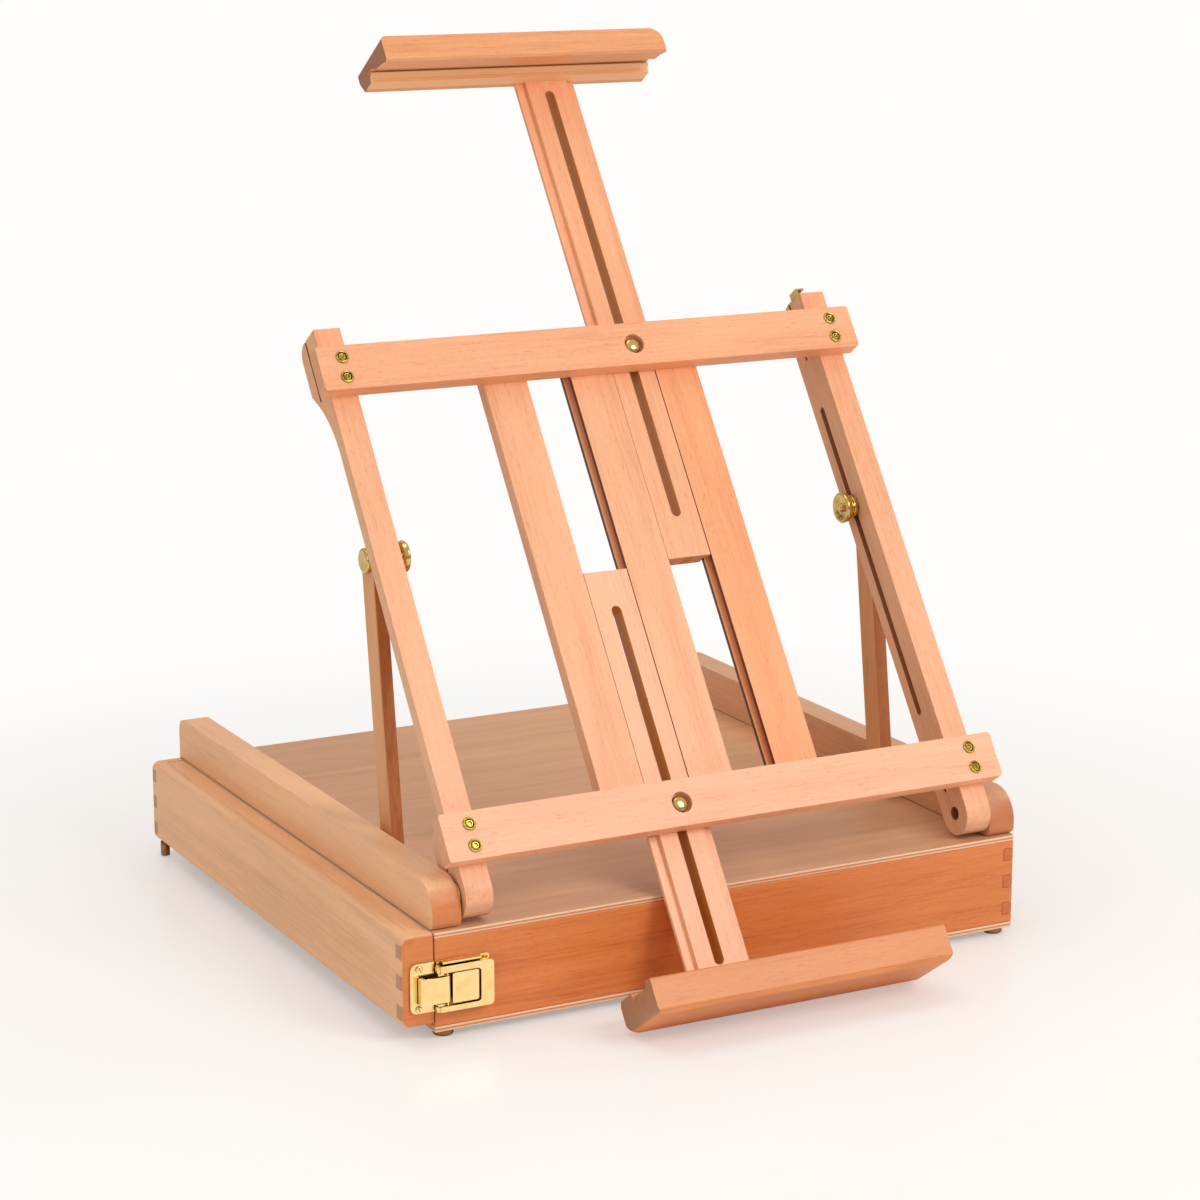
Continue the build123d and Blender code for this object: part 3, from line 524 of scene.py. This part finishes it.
# Piece: grain direction, direction across, colours, painted shading by side, end grain.
# A piece's place in the list is the seed of its pattern.
wood_looks = {
    "front_board": (X, Z, FRONT, [], None),
    "back_board": (X, Z, FRONT, [], None),
    "right_board": (Y, Z, FRONT, [], linear(210, 116, 60)),
    "left_rail": (Y, Z, TAN, [], linear(222, 134, 78)),
    "right_rail": (Y, Z, DECK, [], linear(206, 124, 76)),
    "drawer_runners": (X, Y, TAN, [], None),
    "drawer_front": (Y, Z, CAP, [], linear(224, 132, 72)),
    "drawer_returns": (X, Z, CAP, front_shade, linear(196, 138, 96)),
    "cap_strip": (Y, X, CAP, [], None),
    "drawer_sides": (X, Z, TAN, [], None),
    "drawer_end": (Y, Z, TAN, [], None),
    "left_stile": (UP_FRAME, OUT_FRAME, PEACH, lean_side_shade, None),
    "right_stile": (UP_FRAME, OUT_FRAME, PEACH, lean_side_shade, None),
    "lower_crossbar": (X, UP_FRAME, PEACH_LOW_LIT, [], linear(226, 160, 118)),
    "top_crossbar": (X, UP_FRAME, PEACH, [], linear(226, 160, 118)),
    "left_slat": (UP_FRAME, X, PEACH, lean_side_shade, None),
    "middle_slat": (UP_FRAME, X, PEACH, slat_side_shade, None),
    "right_slat": (UP_FRAME, X, ORANGE, slat_side_shade, None),
    "upper_mast": (UP_FRAME, X, PEACH, mast_side_shading, None),
    "lower_mast": (UP_FRAME, X, PEACH_LOW_LIT, mast_side_shading, None),
    "top_holder": (X, UP_FRAME, HOLD, hold_side_shade, linear(168, 112, 76)),
    "bottom_tray": (X, UP_FRAME, TRAY, hold_side_shade, linear(176, 122, 86)),
    # The props' front faces take painted shade
    "left_prop": (PROP_DIR, Y, PROP, [(FACE, LEFT_PROP_FRONT_SHADE)], None),
    "right_prop": (PROP_DIR, Y, PROP, [(FACE, RIGHT_PROP_FRONT_SHADE)], None),
}
soft_flecked = (TAN, CAP, PROP)
thin_boards = ("left_slat", "middle_slat", "right_slat", "upper_mast", "lower_mast")

# Marks of painted shade and light on them, in metres: half widths, the pivot's bore, and the strip of
# painted light on the holder's side
MAST_SLOT_HALF = 0.0034
GROOVE_HALF = 0.0015
STILE_SLOT_HALF = 0.0026
STILE_KERF_HALF = 0.0011
PIVOT_BORE_RADIUS = 0.0042
DECK_SEAM_HALF = 0.0005
STRIP_SEAM_HALF = 0.0005
RETURN_SEAM_HALF = 0.0004
STRIP_FROM_REAR = 0.0143
STRIP_FROM_LOW = 0.0052
STRIP_DEPTH_HALF = 0.0068
STRIP_HEIGHT_HALF = 0.0048

# How strongly the painted light on the holder's strip shows
STRIP_STRENGTH = 0.6

# Painted shade on the walls of the slats' groove
slat_groove = slot_inside(OUT_FRAME, middle("middle_slat", OUT_FRAME), GROOVE_HALF, OUT_FRAME)
# Painted light: paler faces on the holder's lower strip, set back under its upper band
strip_depth = slot_inside(OUT_FRAME, HOLDER_REAR + STRIP_FROM_REAR, STRIP_DEPTH_HALF, X, STRIP_STRENGTH)
strip_height = stripe(UP_FRAME, HOLDER_LOW + STRIP_FROM_LOW, STRIP_HEIGHT_HALF, 1.0)
# Painted shade inside the stiles' slot, kerf and pivot bore
stile_slot = slot_inside(OUT_FRAME, middle("left_stud", OUT_FRAME), STILE_SLOT_HALF, X)
stile_kerf = slot_inside(OUT_FRAME, middle("nut_strips", OUT_FRAME), STILE_KERF_HALF, X)
pivot_bore = bore_inside(middle("frame_pivot_pins", Y), middle("frame_pivot_pins", Z), PIVOT_BORE_RADIUS)
stile_shade_marks = [(stile_slot, INSIDE_SHADE), (stile_kerf, INSIDE_SHADE), (pivot_bore, INSIDE_SHADE)]
# Painted shade: a dark line along the rails where they meet the deck
rail_shade_marks = [(stripe(Z, DECK_TOP, DECK_SEAM_HALF), SEAM_SHADE)]
# Painted shade in slots, grooves, bores and seams, and painted light on the holder's strip
painted_shading_marks = {
    "middle_slat": [(slat_groove, GROOVE_SHADE)],
    "right_slat": [(slat_groove, GROOVE_SHADE)],
    "top_holder": [(both(strip_depth, strip_height), HOLD_STRIP_LIGHT)],
    # Painted shade along the seam between the cap strip and the drawer returns
    "cap_strip": [(stripe(X, DRAWER_SEAM, STRIP_SEAM_HALF), SEAM_SHADE)],
    "drawer_returns": [(stripe(X, DRAWER_SEAM, RETURN_SEAM_HALF), SEAM_SHADE)],
}
# Painted shade on the walls of each mast's slot
for mast in ("upper_mast", "lower_mast"):
    painted_shading_marks[mast] = [(slot_inside(X, middle(mast, X), MAST_SLOT_HALF, OUT_FRAME), SLOT_WALL_SHADE)]
for side in ("left", "right"):
    painted_shading_marks[side + "_stile"] = stile_shade_marks
    painted_shading_marks[side + "_rail"] = rail_shade_marks

for place, (name, (along, across, colours, sides, end)) in enumerate(wood_looks.items()):
    fleck = SOFT_FLECKS if colours in soft_flecked else STRONG_FLECKS
    low = LOW_LIGHT_TINT if colours is PEACH else None
    give(nodes[name], wood("wood_" + name, place + 1, along, across, colours, fleck, sides, end,
                           marks=painted_shading_marks.get(name, []), low=low))
    smooth_edges(nodes[name], THIN_BOARD_ROUND if name in thin_boards else BOARD_ROUND)

# Plywood. Piece: grain direction, direction across, direction through it, middle of a dark layer
ply_looks = {
    "top_panel": (X, Y, Z, middle("top_panel", Z)),
    "bottom_panel": (X, Y, Z, middle("bottom_panel", Z)),
    "drawer_bottom": (X, Y, Z, middle("drawer_bottom", Z)),
    "long_dividers": (X, Z, Y, 0.0),
    "cross_divider": (Y, Z, X, 0.0),
}
FIRST_PLY_SEED = 40
for place, (name, (along, across, through, centre)) in enumerate(ply_looks.items()):
    give(nodes[name], wood("ply_" + name, FIRST_PLY_SEED + place, along, across, DECK, PLY_FLECKS,
                           plies=(through, centre)))
    smooth_edges(nodes[name], PLY_ROUND)

# Metal: light colour, dark colour, roughness and the pieces made of it
metal_looks = {
    "brass_latch": (
        linear(250, 222, 160), linear(246, 212, 142), 0.16,
        ["catch_base", "catch_pin", "catch_keeper", "keeper_screws", "catch_lever", "claw_pin",
         "catch_claw"]),
    "brass": (
        linear(226, 194, 120), linear(206, 172, 96), 0.15,
        ["slat_screws", "upper_clamp_bolt", "lower_clamp_bolt", "clamp_washers", "frame_keeper",
         "frame_keeper_screw", "upper_mast_screws", "lower_mast_screws", "upper_clamp_knob",
         "lower_clamp_knob", "left_prop_bolt", "right_prop_bolt", "left_stud", "right_stud",
         "left_knob", "right_knob", "pivot_spacers"]),
    "brass_cup": (
        linear(206, 182, 96), linear(176, 148, 70), 0.16,
        ["bar_screws", "cup_washers"]),
    "bronze_foot": (
        linear(170, 128, 84), linear(140, 100, 62), 0.34,
        ["feet", "cap_foot"]),
    "steel": (
        linear(120, 116, 110), linear(84, 80, 76), 0.34,
        ["nut_strips", "frame_pivot_pins", "prop_pivot_screws"]),
}
for kind, (base, dark, rough, pieces) in metal_looks.items():
    material = metal(kind, base, dark, rough)
    for name in pieces:
        give(nodes[name], material)
        smooth_edges(nodes[name], METAL_ROUND, 2)

# Floor: pale, with a soft reflection. The camera sees it fade into plain white between two distances
# from the origin, in metres. FADE_START is the share of white up to the first of them.
FLOOR_SIZE = 14
FLOOR_BACK = 2.0
FLOOR_ROUGH = 0.3
FLOOR_SPECULAR = 0.4
FADE_FROM = 0.26
FADE_TO = 0.72
FADE_START = 0.34
SEEN_WHITE = linear(254, 253, 251)


def floor_material():
    mat, nt, bsdf = tree("floor")
    obj = nt.nodes.new("ShaderNodeTexCoord").outputs["Object"]
    cloud = noise(nt, obj, FLOOR_CLOUD, 2)
    nt.links.new(ramp(nt, cloud, [(0.3, linear(250, 245, 240)), (0.7, linear(252, 249, 245))]),
                 bsdf.inputs["Base Color"])
    bsdf.inputs["Roughness"].default_value = FLOOR_ROUGH
    bsdf.inputs["Specular IOR Level"].default_value = FLOOR_SPECULAR
    shifted = nt.nodes.new("ShaderNodeMapping")
    shifted.inputs["Location"].default_value = (0, FLOOR_BACK, 0)
    nt.links.new(obj, shifted.inputs["Vector"])
    far = nt.nodes.new("ShaderNodeVectorMath")
    far.operation = "LENGTH"
    nt.links.new(shifted.outputs["Vector"], far.inputs[0])
    half_far = maths(nt, "MULTIPLY", far.outputs["Value"], 0.5)
    fade = ramp(nt, half_far, [(FADE_FROM / 2, grey(FADE_START)), (FADE_TO / 2, grey(1))])
    seen = nt.nodes.new("ShaderNodeLightPath").outputs["Is Camera Ray"]
    glow = nt.nodes.new("ShaderNodeEmission")
    glow.inputs["Color"].default_value = SEEN_WHITE
    blend = nt.nodes.new("ShaderNodeMixShader")
    nt.links.new(maths(nt, "MULTIPLY", fade, seen), blend.inputs["Fac"])
    nt.links.new(bsdf.outputs["BSDF"], blend.inputs[1])
    nt.links.new(glow.outputs[0], blend.inputs[2])
    out = next(n for n in nt.nodes if n.type == "OUTPUT_MATERIAL")
    nt.links.new(blend.outputs[0], out.inputs["Surface"])
    return mat


bpy.ops.mesh.primitive_plane_add(size=FLOOR_SIZE, location=(0, FLOOR_BACK, 0))
floor = bpy.context.object
floor.name = "floor"
give(floor, floor_material())

# World: soft light from above, darker near the horizon; the camera itself sees white
WORLD_STRENGTH = 0.66
world = bpy.data.worlds.new("world")
bpy.context.scene.world = world
world.use_nodes = True
wn = world.node_tree
wn.nodes.clear()
height = wn.nodes.new("ShaderNodeSeparateXYZ")
wn.links.new(wn.nodes.new("ShaderNodeTexCoord").outputs["Generated"], height.inputs[0])
lit = wn.nodes.new("ShaderNodeBackground")
lit.inputs["Strength"].default_value = WORLD_STRENGTH
sky = [(0.02, linear(120, 104, 90)), (0.22, linear(250, 248, 244)), (0.5, linear(255, 253, 250))]
wn.links.new(ramp(wn, height.outputs["Z"], sky), lit.inputs["Color"])
white = wn.nodes.new("ShaderNodeBackground")
white.inputs["Color"].default_value = SEEN_WHITE
white.inputs["Strength"].default_value = 1.0
world_mix = wn.nodes.new("ShaderNodeMixShader")
wn.links.new(wn.nodes.new("ShaderNodeLightPath").outputs["Is Camera Ray"], world_mix.inputs["Fac"])
wn.links.new(lit.outputs[0], world_mix.inputs[1])
wn.links.new(white.outputs[0], world_mix.inputs[2])
world_out = wn.nodes.new("ShaderNodeOutputWorld")
wn.links.new(world_mix.outputs[0], world_out.inputs["Surface"])


# Lamps
def area_lamp(name, place, target, size, power, colour=(1, 1, 1)):
    light = bpy.data.lights.new(name, "AREA")
    light.shape = "DISK"
    light.size = size
    light.energy = power
    light.color = colour
    lamp = bpy.data.objects.new(name, light)
    bpy.context.scene.collection.objects.link(lamp)
    lamp.location = place
    lamp.rotation_euler = (Vector(target) - Vector(place)).to_track_quat("-Z", "Y").to_euler()


area_lamp("key", place=(0.9, -2.0, 1.7), target=(0, 0, 0.2), size=1.2, power=27,
          colour=(1.0, 0.985, 0.96))
area_lamp("top", place=(-0.5, 0.3, 2.4), target=(0, 0, 0.1), size=1.6, power=9)
area_lamp("left", place=(-2.2, -0.5, 1.0), target=(0, 0, 0.15), size=1.4, power=5)

# Camera, as fitted to the photograph
CAMERA_FROM_BOX = Vector((-0.9104, -1.7556, 0.6599))
CAMERA_AZIMUTH = math.radians(27.765)
CAMERA_DROP = math.radians(13.342)
SENSOR = 36
FOCAL_PIXELS = 3231.1
PICTURE_PIXELS = 1200

cam_data = bpy.data.cameras.new("camera")
cam = bpy.data.objects.new("camera", cam_data)
bpy.context.scene.collection.objects.link(cam)
look = Vector((math.sin(CAMERA_AZIMUTH) * math.cos(CAMERA_DROP),
               math.cos(CAMERA_AZIMUTH) * math.cos(CAMERA_DROP),
               -math.sin(CAMERA_DROP)))
cam.location = BOX_MIDDLE + CAMERA_FROM_BOX
cam.rotation_euler = look.to_track_quat("-Z", "Y").to_euler()
cam_data.sensor_width = SENSOR
cam_data.lens = SENSOR * FOCAL_PIXELS / PICTURE_PIXELS
cam_data.clip_end = 50
bpy.context.scene.camera = cam
bpy.context.scene.view_settings.view_transform = "Standard"
